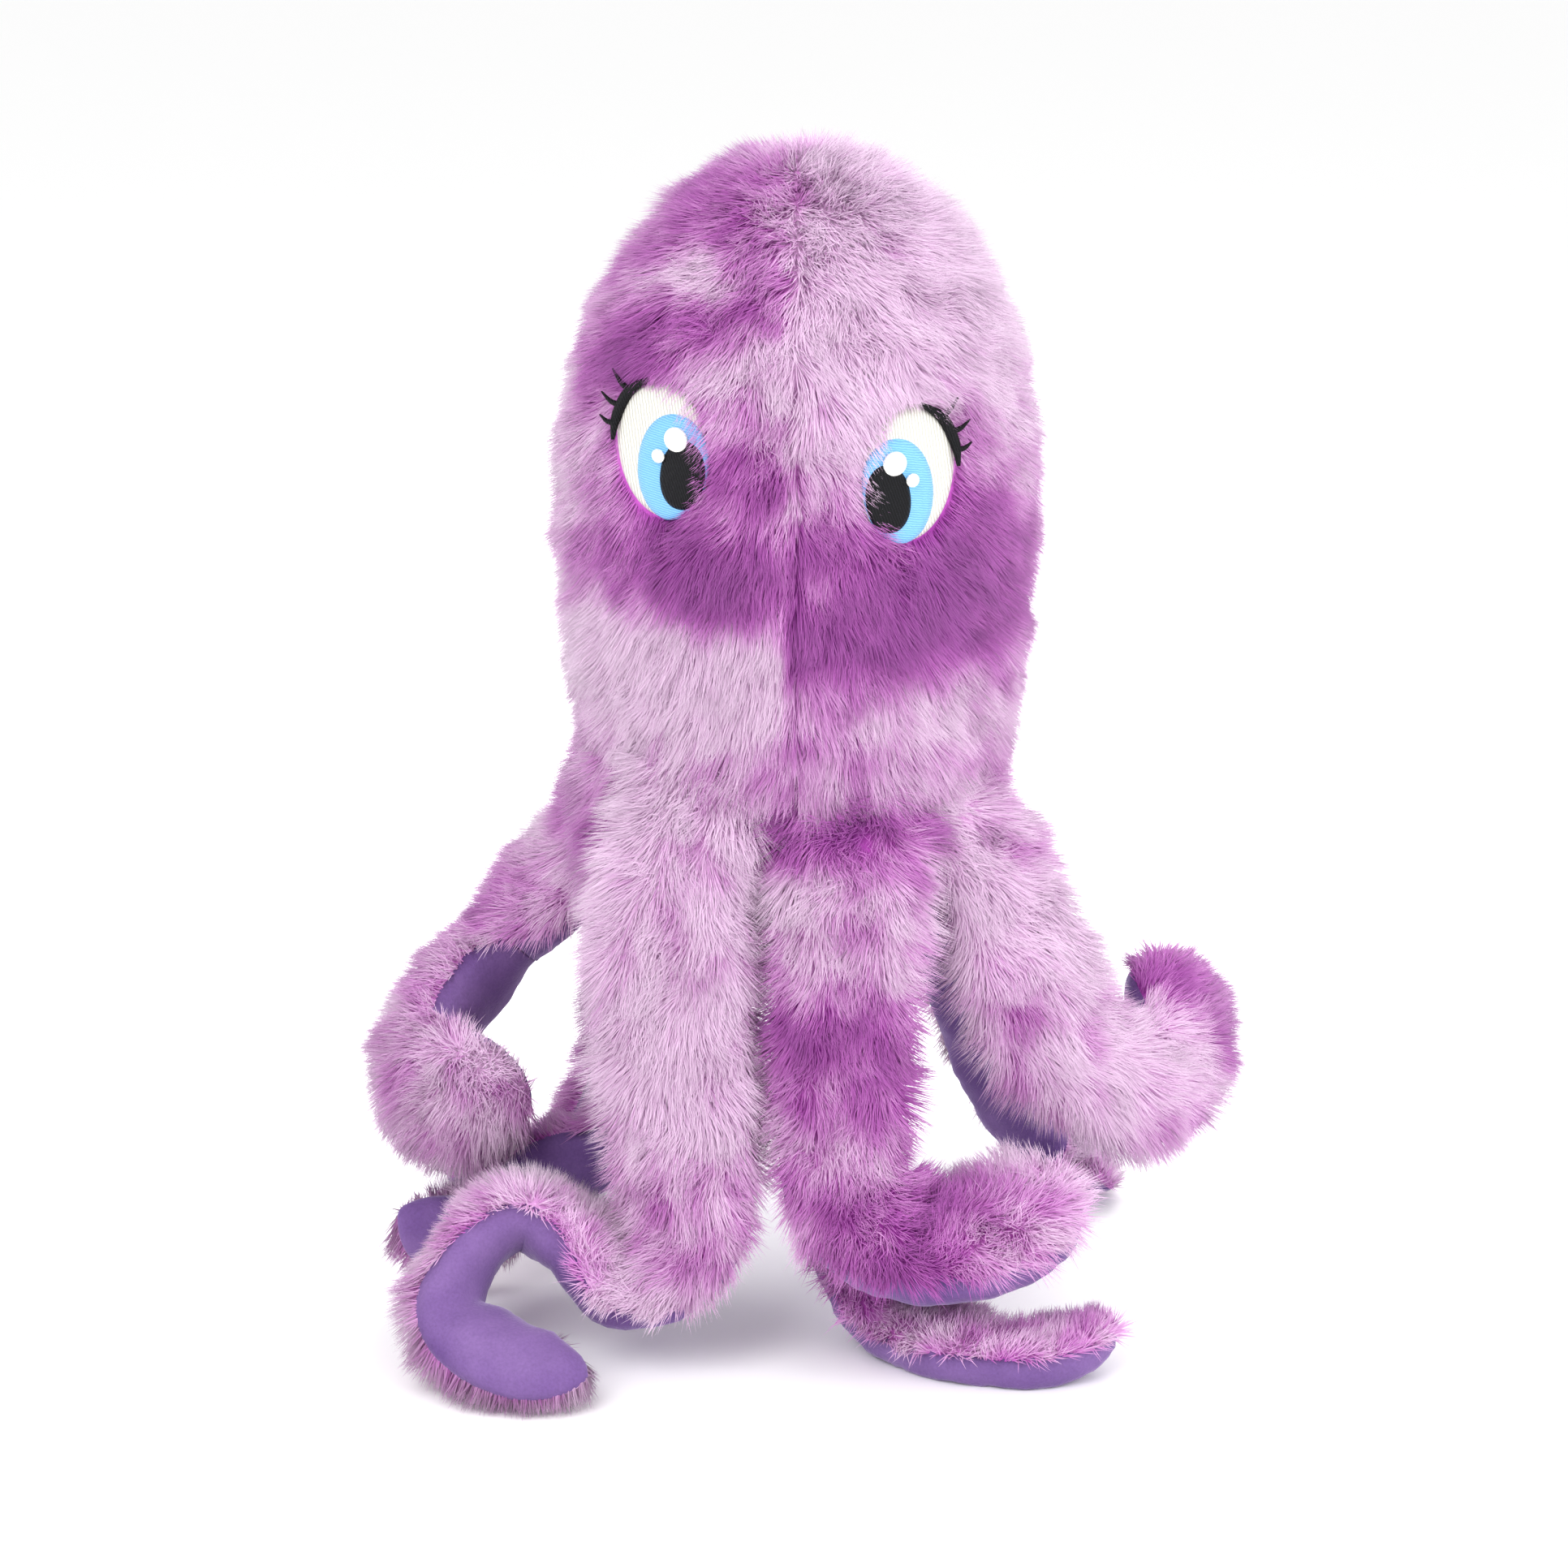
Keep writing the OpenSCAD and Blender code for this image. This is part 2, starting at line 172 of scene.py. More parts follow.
def darkness(points):
    # cloudy tie-dye mottle, points in mm
    a = smoothNoise(points, 0.034, 1)
    b = smoothNoise(points, 0.075, 2)
    c = smoothNoise(points, 0.17, 3)
    return 0.36 + 0.38 * a + 0.36 * b + 0.32 * c


def dyeColor(d):
    # 0 is the palest lavender, 1 the deepest plum
    stops = np.array([0.0, 0.42, 0.78, 1.15])
    colors = np.array([dyeAndPaintedLight["pale"], dyeAndPaintedLight["orchid"], dyeAndPaintedLight["magenta"], dyeAndPaintedLight["plum"]])
    d = np.clip(d, 0, 1.15)
    return np.stack([np.interp(d, stops, colors[:, k]) for k in range(3)], 1)


# materials
def furMaterial():
    m = bpy.data.materials.new("fauxFur")
    m.use_nodes = True
    nodes, links = m.node_tree.nodes, m.node_tree.links
    b = nodes["Principled BSDF"]
    # base colour: the lock's dye with painted shade at its roots and a painted highlight at its tips
    tint = nodes.new("ShaderNodeAttribute")
    tint.attribute_name = "dyeAndPaintedLight"
    links.new(tint.outputs["Color"], b.inputs["Base Color"])
    b.inputs["Roughness"].default_value = 0.62
    b.inputs["Specular IOR Level"].default_value = 0.25
    b.inputs["Sheen Weight"].default_value = 0.25
    b.inputs["Sheen Roughness"].default_value = 0.5
    return m


def velourMaterial():
    m = bpy.data.materials.new("velour")
    m.use_nodes = True
    nodes, links = m.node_tree.nodes, m.node_tree.links
    b = nodes["Principled BSDF"]
    coord = nodes.new("ShaderNodeTexCoord")
    cloud = nodes.new("ShaderNodeTexNoise")
    cloud.inputs["Scale"].default_value = 45
    cloud.inputs["Detail"].default_value = 3
    nap = nodes.new("ShaderNodeTexNoise")
    nap.inputs["Scale"].default_value = 1400
    nap.inputs["Detail"].default_value = 2
    ramp = nodes.new("ShaderNodeValToRGB")
    ramp.color_ramp.elements[0].position = 0.3
    ramp.color_ramp.elements[0].color = (*toLinear(109, 78, 141), 1)
    ramp.color_ramp.elements[1].position = 0.72
    ramp.color_ramp.elements[1].color = (*toLinear(142, 110, 170), 1)
    grain = nodes.new("ShaderNodeMix")
    grain.data_type = "RGBA"
    grain.blend_type = "MULTIPLY"
    grain.inputs["Factor"].default_value = 0.35
    links.new(coord.outputs["Object"], cloud.inputs["Vector"])
    links.new(coord.outputs["Object"], nap.inputs["Vector"])
    links.new(cloud.outputs["Fac"], ramp.inputs["Fac"])
    links.new(ramp.outputs["Color"], grain.inputs[6])
    links.new(nap.outputs["Fac"], grain.inputs[7])
    links.new(grain.outputs[2], b.inputs["Base Color"])
    bump = nodes.new("ShaderNodeBump")
    bump.inputs["Strength"].default_value = 0.4
    bump.inputs["Distance"].default_value = 0.0004
    links.new(nap.outputs["Fac"], bump.inputs["Height"])
    links.new(bump.outputs["Normal"], b.inputs["Normal"])
    b.inputs["Roughness"].default_value = 0.85
    b.inputs["Specular IOR Level"].default_value = 0.15
    b.inputs["Sheen Weight"].default_value = 0.5
    b.inputs["Sheen Roughness"].default_value = 0.35
    b.inputs["Sheen Tint"].default_value = (0.85, 0.76, 1, 1)
    return m


def backingMaterial():
    # knitted ground of the faux fur, dyed with the pile and painted deeper as shade, seen only between the locks
    m = bpy.data.materials.new("furBacking")
    m.use_nodes = True
    nodes, links = m.node_tree.nodes, m.node_tree.links
    b = nodes["Principled BSDF"]
    tint = nodes.new("ShaderNodeAttribute")
    tint.attribute_name = "dyeAndPaintedLight"
    coord = nodes.new("ShaderNodeTexCoord")
    knit = nodes.new("ShaderNodeTexVoronoi")
    knit.inputs["Scale"].default_value = 900
    grain = nodes.new("ShaderNodeMix")
    grain.data_type = "RGBA"
    grain.blend_type = "MULTIPLY"
    grain.inputs["Factor"].default_value = 0.3
    links.new(coord.outputs["Object"], knit.inputs["Vector"])
    links.new(tint.outputs["Color"], grain.inputs[6])
    links.new(knit.outputs["Distance"], grain.inputs[7])
    links.new(grain.outputs[2], b.inputs["Base Color"])
    b.inputs["Roughness"].default_value = 0.9
    return m


def threadMaterial(name, dark, light, turn, pitch=0.55, sheen=0.2, specular=0.4):
    # satin stitch: threads lie side by side, pitch in mm
    m = bpy.data.materials.new(name)
    m.use_nodes = True
    nodes, links = m.node_tree.nodes, m.node_tree.links
    b = nodes["Principled BSDF"]
    coord = nodes.new("ShaderNodeTexCoord")
    place = nodes.new("ShaderNodeMapping")
    place.inputs["Rotation"].default_value = (0, math.radians(turn), 0)
    wave = nodes.new("ShaderNodeTexWave")
    wave.wave_type = "BANDS"
    wave.bands_direction = "X"
    wave.inputs["Scale"].default_value = 314 / pitch
    wave.inputs["Distortion"].default_value = 2.2
    wave.inputs["Detail"].default_value = 2
    wave.inputs["Detail Scale"].default_value = 1.6
    # the ramp paints shade into the grooves between the threads and light onto their crowns, following the bump
    ramp = nodes.new("ShaderNodeValToRGB")
    ramp.color_ramp.elements[0].position = 0.0
    ramp.color_ramp.elements[0].color = (*dark, 1)
    ramp.color_ramp.elements[1].position = 0.55
    ramp.color_ramp.elements[1].color = (*light, 1)
    bump = nodes.new("ShaderNodeBump")
    bump.inputs["Strength"].default_value = 0.5
    bump.inputs["Distance"].default_value = 0.0004
    links.new(coord.outputs["Object"], place.inputs["Vector"])
    links.new(place.outputs["Vector"], wave.inputs["Vector"])
    links.new(wave.outputs["Fac"], ramp.inputs["Fac"])
    links.new(ramp.outputs["Color"], b.inputs["Base Color"])
    links.new(wave.outputs["Fac"], bump.inputs["Height"])
    links.new(bump.outputs["Normal"], b.inputs["Normal"])
    b.inputs["Roughness"].default_value = 0.45
    b.inputs["Specular IOR Level"].default_value = specular
    b.inputs["Sheen Weight"].default_value = sheen
    return m


furLook = furMaterial()
velourLook = velourMaterial()
backingLook = backingMaterial()
whiteThread = threadMaterial("whiteThread", toLinear(188, 186, 176), toLinear(232, 230, 222), 8, 0.7, 0.05)
blueThread = threadMaterial("blueThread", toLinear(92, 160, 222), toLinear(128, 194, 244), 80)
blackThread = threadMaterial("blackThread", toLinear(4, 4, 6), toLinear(20, 20, 24), 20, 0.6, 0.0, 0.15)
shineThread = threadMaterial("shineThread", toLinear(232, 230, 224), toLinear(255, 255, 252), 60)
print("materials made")


# fur locks
def furPiece(name, roots, leans, lengths, widths, droop, depth, seed, normals):
    count = len(roots)
    rng = np.random.default_rng(seed)
    side = np.cross(leans, rng.normal(size=(count, 3)))
    side /= np.linalg.norm(side, axis=1)[:, None]
    other = np.cross(leans, side)
    tips = roots + leans * (lengths * 0.93)[:, None] + droop * (lengths * 0.38)[:, None]
    verts = np.empty((count, 4, 3))
    for k, angle in enumerate((0, 2.094, 4.189)):
        out = side * math.cos(angle) + other * math.sin(angle)
        verts[:, k] = roots + out * (widths * 0.5)[:, None]
    verts[:, 3] = tips
    base = (np.arange(count) * 4)[:, None]
    loops = np.concatenate([base + np.array(t) for t in ([0, 1, 3], [1, 2, 3], [2, 0, 3], [2, 1, 0])], 1).ravel()
    sizes = np.full(count * 4, 3)
    mesh = bpy.data.meshes.new(name)
    mesh.vertices.add(count * 4)
    mesh.vertices.foreach_set("co", (verts * mm).ravel())
    mesh.loops.add(len(loops))
    mesh.loops.foreach_set("vertex_index", loops)
    mesh.polygons.add(len(sizes))
    mesh.polygons.foreach_set("loop_start", np.concatenate([[0], np.cumsum(sizes)[:-1]]))
    mesh.polygons.foreach_set("loop_total", sizes)
    mesh.update(calc_edges=True)
    mesh.polygons.foreach_set("use_smooth", np.ones(len(sizes), bool))
    # one small cell of the piece's own map for each lock
    grid = math.ceil(math.sqrt(count))
    cell = np.stack([np.arange(count) % grid, np.arange(count) // grid], 1)
    at = np.array([[0.12, 0.1], [0.88, 0.1], [0.5, 0.35], [0.5, 0.92]])
    uv = (cell[:, None, :] + at[None]) / grid
    layer = mesh.uv_layers.new(name="OFBake")
    layer.data.foreach_set("uv", uv.reshape(-1, 2)[loops].ravel())
    # the lock's dye, with the roots painted deeper and a little darker as shade down in the pile and the tips painted
    # paler as light on the pile, each lock a little different
    own = depth + rng.normal(0, 0.09, count)
    rootColor = dyeColor(np.maximum(own, 0.1) + 0.2) * 0.95
    tipColor = dyeColor(own - 0.1) * 0.9 + 0.1 * np.array(dyeAndPaintedLight["tipHighlight"])
    tint = np.ones((count, 4, 4))
    tint[:, 0:3, :3] = rootColor[:, None]
    tint[:, 3, :3] = tipColor
    attribute = mesh.attributes.new("dyeAndPaintedLight", "FLOAT_COLOR", "POINT")
    attribute.data.foreach_set("color", tint.ravel())
    # each lock is lit much like the coat it belongs to, so the pile looks soft and not like spikes
    own = verts - (verts[:, 0:3].mean(1)[:, None] + (leans[:, None] * ((verts - roots[:, None]) * leans[:, None]).sum(2, keepdims=True)))
    lit = unit(unit(normals)[:, None] + 0.35 * unit(own))
    mesh.normals_split_custom_set_from_vertices(lit.reshape(-1, 3))
    mesh.materials.append(furLook)
    piece = bpy.data.objects.new(name, mesh)
    bpy.context.collection.objects.link(piece)
    return piece


def unit(v):
    return v / np.maximum(np.linalg.norm(v, axis=-1, keepdims=True), 1e-9)


fur = {"perSquareMm": 4.2, "pile": 9.6, "lockWidth": 0.4, "tuft": 0.3, "scatter": 0.14}


def groom(points, normals, flow, seed, pile=None, droop=0.35):
    # lean, length and width of the locks rooted at these points
    rng = np.random.default_rng(seed)
    tuft = smoothNoiseVector(points, 0.13, 5)
    finer = smoothNoiseVector(points, 0.4, 6)
    lean = unit(normals * 0.8 + flow + tuft * fur["tuft"] * 1.5 + finer * 0.24 + rng.normal(0, fur["scatter"], points.shape))
    # a lock never dives back into the skin
    into = (lean * normals).sum(1)
    lean = unit(lean + normals * np.maximum(0, 0.25 - into)[:, None])
    length = (fur["pile"] if pile is None else pile) * rng.uniform(0.72, 1.1, len(points)) * (1 + 0.22 * smoothNoise(points, 0.09, 8))
    width = fur["lockWidth"] * rng.uniform(0.75, 1.3, len(points))
    hang = np.tile([0.0, 0.0, -1.0], (len(points), 1)) * droop + flow * 0.6 + tuft * 0.4
    return lean, length, width, hang


def paintDyeAndShade(mesh, depth):
    # the ground under the pile takes the same dye, painted a little deeper as shade between the locks
    tint = np.ones((len(depth), 4))
    tint[:, :3] = dyeColor(depth + 0.14)
    mesh.attributes.new("dyeAndPaintedLight", "FLOAT_COLOR", "POINT").data.foreach_set("color", tint.ravel())


# arms
# rows: centre x, y, z, the way the fur faces, size; the same routes as the CAD model, in mm
arms = [
    {"name": "arm1", "bend": 3, "rows": [
        (-18, -34, 130, -0.3, -1, 0.1, 0.85), (-25, -43, 108, -0.1, -1, 0.1, 1.05), (-25, -48, 80, 0, -1, 0.1, 1.05),
        (-23, -54, 52, 0, -1, 0.2, 1), (-24, -61, 30, -0.3, -0.9, 0.5, 1), (-38, -62, 19, -0.1, -0.3, 1, 0.95),
        (-52, -58, 28, 0.1, 0.2, 1, 0.92), (-64, -57, 33, -0.1, 0.4, 0.9, 0.86), (-74, -63, 27, -0.6, 0.5, 0.6, 0.8),
        (-78, -76, 17, -0.6, 0.6, -0.1, 0.76), (-66, -89, 11, -0.2, 0.5, -0.8, 0.72), (-46, -98, 9, -0.1, 0.5, -0.8, 0.6)]},
    {"name": "arm2", "bend": 3, "rows": [
        (-36, -12, 130, -0.9, -0.3, 0.1, 0.85), (-36, -15, 106, -0.9, -0.3, 0.1, 0.9), (-34, -16, 80, -0.9, -0.2, 0.1, 0.9),
        (-34, -13, 54, -0.9, 0.1, 0.2, 0.85), (-43, -9, 35, -0.5, 0.8, 0.5, 0.8), (-60, -13, 28, -0.1, 0.9, 0.4, 0.76),
        (-78, -25, 17, -0.3, 0.8, 0.2, 0.74), (-95, -28, 24, -0.5, 0.7, -0.4, 0.66)]},
    {"name": "arm3", "bend": 3, "rows": [
        (-34, 17, 130, -0.9, 0.4, 0.1, 0.85), (-44, 18, 112, -0.8, 0, 0.5, 0.95), (-58, 17, 93, -0.5, -0.3, 0.7, 1),
        (-76, 11, 73, -0.6, 0.5, 0.6, 1), (-88, -5, 59, -1, 0.1, 0.3, 1), (-80, -22, 54, -0.4, -1, 0.1, 1),
        (-62, -28, 54, 0.1, -1, 0.1, 0.95)]},
    {"name": "arm4", "bend": 3, "rows": [
        (-12, 36, 130, -0.3, 0.9, 0.1, 0.85), (-20, 45, 108, -0.3, 0.9, 0.1, 1), (-28, 52, 80, -0.3, 0.9, 0.1, 0.95),
        (-35, 56, 52, -0.4, 0.9, 0.2, 0.9), (-42, 62, 25, -0.3, 0.7, 0.6, 0.85), (-57, 67, 7, 0, 0.3, 1, 0.75),
        (-75, 64, 4, 0, 0.1, 1, 0.65), (-88, 54, 4, 0, 0.1, 1, 0.55)]},
    {"name": "arm5", "bend": 3, "rows": [
        (17, 34, 130, 0.4, 0.9, 0.1, 0.85), (29, 44, 108, 0.4, 0.9, 0.1, 1), (40, 50, 80, 0.4, 0.9, 0.1, 0.95),
        (51, 54, 52, 0.4, 0.9, 0.2, 0.9), (60, 56, 27, 0.3, 0.8, 0.5, 0.85), (72, 54, 9, 0.1, 0.5, 0.9, 0.75),
        (86, 46, 4, 0.1, 0.3, 1, 0.6)]},
    {"name": "arm6", "bend": 3, "rows": [
        (34, -17, 130, 0.8, -0.5, 0.2, 0.85), (47, -25, 112, 0.6, -0.8, 0.4, 0.95), (56, -31, 91, 0.4, -0.9, 0.3, 1),
        (67, -32, 69, 0.4, -0.9, 0.4, 1), (83, -26, 58, 0.6, -0.8, 0.3, 1), (95, -11, 64, 0.8, -0.6, 0.2, 0.98),
        (93, 5, 80, 0.6, -0.7, 0.3, 0.92)]},
    {"name": "arm7", "bend": 4, "rows": [
        (36, 12, 130, 0.9, 0.2, 0.2, 0.8), (27, 8, 112, 0.9, -0.1, 0.4, 0.8), (17, 2, 92, 0.8, -0.4, 0.4, 0.8),
        (12, -8, 68, 0.5, -0.8, 0.4, 0.8), (13, -20, 44, 0.2, -0.9, 0.4, 0.8), (17, -36, 22, 0, -0.8, 0.6, 0.8),
        (26, -56, 8, 0, -0.4, 1, 0.75), (42, -71, 5, -0.1, 0, 1, 0.7), (62, -76, 5, -0.1, 0.1, 1, 0.65),
        (79, -65, 9, 0, -0.1, 1, 0.55)]},
    {"name": "arm8", "bend": 3, "rows": [
        (13, -36, 130, 0.1, -1, 0.1, 0.85), (15, -47, 110, 0, -1, 0.1, 0.95), (14, -51, 84, 0, -1, 0.1, 0.85),
        (13, -54, 58, 0, -1, 0.2, 0.9), (16, -61, 39, 0, -0.9, 0.5, 1), (32, -67, 30, 0, -0.5, 0.9, 1.02),
        (51, -65, 32, 0.1, -0.4, 0.9, 1), (68, -54, 43, 0.3, -0.5, 0.9, 0.9)]},
]
# how much fuller each leg is than its route's size, how deep the velour swells on the foot,
# and how far up its side the velour comes there
legFuller = [1.08, 1.0, 1.04, 1.0, 1.0, 1.04, 1.0, 1.16]
footSwell = [1.05, 1.0, 1.0, 1.0, 1.0, 1.0, 1.25, 1.35]
footSide = [0.22, 0.12, 0.12, 0.1, 0.1, 0.12, 0.4, 0.42]
armShape = {"halfWidth": 15.0, "furSide": 9.0, "velourSide": 8.0, "furEdge": 0.1, "endReach": 16.0, "rings": 84, "around": 36, "rootLift": 11.0, "join": 12.0}


def routePoint(rows, u):
    # smooth curve through the rows, u an array
    n = len(rows)
    i = np.clip(np.floor(u).astype(int), 0, n - 1)
    f = (u - i)[:, None]
    a, b = rows[np.clip(i - 1, 0, n - 1)], rows[i]
    c, d = rows[np.clip(i + 1, 0, n - 1)], rows[np.clip(i + 2, 0, n - 1)]
    return 0.5 * (2 * b + (c - a) * f + (2 * a - 5 * b + 4 * c - d) * f * f + (3 * b - a - 3 * c + d) * f ** 3)


def routeFrames(arm, u):
    # centre, tangent, side and fur direction, size; u below 0 goes straight up into the head
    rows = np.array(arm["rows"], float)
    last = len(rows) - 1
    inside = np.clip(u, 0, last)
    q = routePoint(rows, inside)
    t = unit((routePoint(rows, np.minimum(last, inside + 0.04)) - routePoint(rows, np.maximum(0, inside - 0.04)))[:, :3])
    s = unit(np.cross(q[:, 3:6], t))
    n = np.cross(t, s)
    centre = q[:, :3] + shift
    over = u - inside
    centre = centre + np.where(over < 0, over, 0)[:, None] * armShape["rootLift"] * np.array([0.4 * t[:, 0], 0.4 * t[:, 1], -np.ones(len(u))]).T
    return centre, t, s, n, q[:, 6]


def armLength(arm):
    rows = np.array(arm["rows"], float)
    u = np.linspace(0, len(rows) - 1, 400)
    p = routePoint(rows, u)[:, :3]
    return u, np.concatenate([[0], np.cumsum(np.linalg.norm(np.diff(p, axis=0), axis=1))])


def endRound(arm, u):
    # the size falls to nothing over the last few millimetres, as a sewn round end does
    uu, dist = armLength(arm)
    left = dist[-1] - np.interp(u, uu, dist)
    x = np.clip(left / armShape["endReach"], 0, 1)
    return np.clip(1 - (1 - x) ** 2, 0.015, 1) ** 0.6


def footPart(arm, u):
    # 0 on the leg, 1 on the foot past the bend
    return np.clip((u - arm["bend"] + 0.2) / 0.8, 0, 1)


def furEdge(arm, u):
    # the fur stops this angle short of the seam
    return armShape["furEdge"] + (footSide[arms.index(arm)] - armShape["furEdge"]) * footPart(arm, u)


def armSurface(arm, u, angle):
    # points and normals; angle 0..pi is the fur side, pi..2pi the velour side
    index = arms.index(arm)
    centre, t, s, n, size = routeFrames(arm, u)
    foot = footPart(arm, u)
    size = size * endRound(arm, u) * (1 + 0.16 * np.exp(-(np.maximum(u, 0) / 0.7) ** 2))
    w = armShape["halfWidth"] * (legFuller[index] + (1 - legFuller[index]) * foot)
    h = np.where(np.sin(angle) > 0, armShape["furSide"], armShape["velourSide"] * (1 + (footSwell[index] - 1) * foot))
    # the sides come to a soft edge at the two seams
    c, q = np.cos(angle), np.sin(angle)
    flat = np.sign(c) * np.abs(c) ** 0.92
    tall = np.sign(q) * np.abs(q) ** 0.9
    p = centre + size[:, None] * (s * (w * flat)[:, None] + n * (h * tall)[:, None])
    nor = unit(s * (c / w)[:, None] + n * (q / h)[:, None])
    p[:, 2] = np.maximum(p[:, 2], np.where(q < 0.15, 0.15, 1.6))
    return p, nor, t, size


def splitAt(arm):
    # where the upper piece hands over to the lower one, a little before the bend
    uu, dist = armLength(arm)
    atBend = np.interp(arm["bend"], uu, dist)
    return float(np.interp(atBend - armShape["join"], dist, uu))


def armSkin(arm, part, index):
    # closed stuffed skin: velour below, fur ground on top
    split = splitAt(arm)
    last = len(arm["rows"]) - 1
    u = np.linspace(-1, split, armShape["rings"] // 2 + 1) if part == "upper" else np.linspace(split, last, armShape["rings"] + 1)
    around = armShape["around"]
    angle = np.linspace(0, 2 * math.pi, around, endpoint=False)
    uu, aa = np.repeat(u, around), np.tile(angle, len(u))
    p, nor, t, size = armSurface(arm, uu, aa)
    # soft creases and puckers on the velour
    crease = smoothNoise(p + t * 3, 0.11, 11) * 0.9 + smoothNoise(p, 0.3, 12) * 0.3
    velour = np.sin(aa) < -0.05
    pucker = np.where(velour, np.exp(-((np.abs(np.cos(aa)) - 1) / 0.1) ** 2), 0) * np.sin(uu * 40) * 0.14
    p = p + nor * ((crease * np.where(velour, 1.0, 0.3)) + pucker)[:, None]
    p[:, 2] = np.maximum(p[:, 2], 0.1)
    rings = len(u)
    verts = [tuple(v) for v in p * mm]
    faces, slots = [], []
    for i in range(rings - 1):
        for j in range(around):
            a, b = i * around + j, i * around + (j + 1) % around
            faces.append((a, b, b + around, a + around))
            middle = angle[j] + math.pi / around
            side = float(furEdge(arm, u[i:i + 1])[0]) + 0.1
            slots.append(1 if side < middle < math.pi - side else 0)
    first, end = len(verts), len(verts) + 1
    verts += [tuple(p[:around].mean(0) * mm), tuple(p[-around:].mean(0) * mm)]
    for j in range(around):
        k = (j + 1) % around
        faces.append((first, k, j))
        faces.append((end, (rings - 1) * around + j, (rings - 1) * around + k))
        slots += [0, 0]
    mesh = bpy.data.meshes.new(f"{arm['name']}_{part}_skin")
    mesh.from_pydata(verts, [], faces)
    mesh.materials.append(velourLook)
    mesh.materials.append(backingLook)
    mesh.polygons.foreach_set("material_index", slots)
    mesh.polygons.foreach_set("use_smooth", [True] * len(faces))
    ends = np.array([u[0], u[-1]])
    paintDyeAndShade(mesh, armDepth(arm, index, np.concatenate([uu, ends]), np.array(verts) / mm))
    work = bmesh.new()
    work.from_mesh(mesh)
    bmesh.ops.recalc_face_normals(work, faces=work.faces)
    work.to_mesh(mesh)
    work.free()
    piece = bpy.data.objects.new(mesh.name, mesh)
    bpy.context.collection.objects.link(piece)
    return piece


def armDepth(arm, index, u, p):
    uu, dist = armLength(arm)
    along = np.interp(u, uu, dist) / dist[-1]
    depth = darkness(p)
    for place, wide, amount in dyeAndPaintedLight["armBands"][index]:
        wobble = smoothNoise(p, 0.05, 20) * 0.06
        depth = depth + amount * np.exp(-(((along + wobble - place) / wide) ** 2))
    return depth


def armFur(arm, part, index):
    split = splitAt(arm)
    last = len(arm["rows"]) - 1
    u0, u1 = (-0.75, split) if part == "upper" else (split, last)
    rng = np.random.default_rng(100 + index * 10 + (part == "lower"))
    # even cover: many tries, kept by how much skin each stands for
    uu, dist = armLength(arm)
    tries = 150000
    u = rng.uniform(u0, u1, tries)
    edge = furEdge(arm, u)
    angle = edge + rng.uniform(0, 1, tries) * (math.pi - 2 * edge)
    p, nor, t, size = armSurface(arm, u, angle)
    step = 0.01
    pu = armSurface(arm, u + step, angle)[0]
    pa = armSurface(arm, u, angle + step)[0]
    area = np.linalg.norm(np.cross(pu - p, pa - p), axis=1) / step ** 2
    total = area.mean() * (u1 - u0) * (math.pi - 2 * edge.mean())
    want = min(int(total * fur["perSquareMm"]), 45000)
    keep = rng.uniform(0, 1, tries) < area / np.percentile(area, 99)
    chosen = np.flatnonzero(keep)[:want]
    u, angle, p, nor, t = u[chosen], angle[chosen], p[chosen], nor[chosen], t[chosen]
    rim = np.clip((np.abs(angle - math.pi / 2) - 1.15) / 0.5, 0, 1)  # 1 at the seams
    centre, tt, s, n, size = routeFrames(arm, u)
    # near the seams the locks spread sideways on the legs and stand clear of the velour on the feet
    foot = footPart(arm, u)
    outward = s * np.sign(np.cos(angle))[:, None]
    flow = tt * 0.22 + np.array([0, 0, -0.14]) + n * (rim * 0.45 * foot)[:, None] + outward * (rim * 0.9 * (1 - foot))[:, None]
    lean, length, width, hang = groom(p, nor, flow, 200 + index * 10 + (part == "lower"))
    length = length * (1 - rim * 0.42 * foot) * (1 + 0.3 * np.exp(-(np.maximum(u, 0) / 0.8) ** 2)) * np.interp(size, [0.5, 1.0], [0.72, 1.0])
    # no lock goes through the floor
    drop = p[:, 2] + (lean[:, 2] * length * 0.93) + hang[:, 2] * length * 0.38
    length = np.where(drop < 0.4, length * np.clip((p[:, 2] - 0.4) / np.maximum(p[:, 2] - drop, 0.01), 0.15, 1), length)
    depth = armDepth(arm, index, u, p + lean * (length * 0.5)[:, None])
    return furPiece(f"{arm['name']}_{part}_fur", p - nor * 0.4, lean, length, width, hang, depth, 300 + index * 10, nor)


stuffing = {"pressure": 4.0, "frames": 20, "cap": 1.6, "stiffness": 14.0, "bending": 0.25}


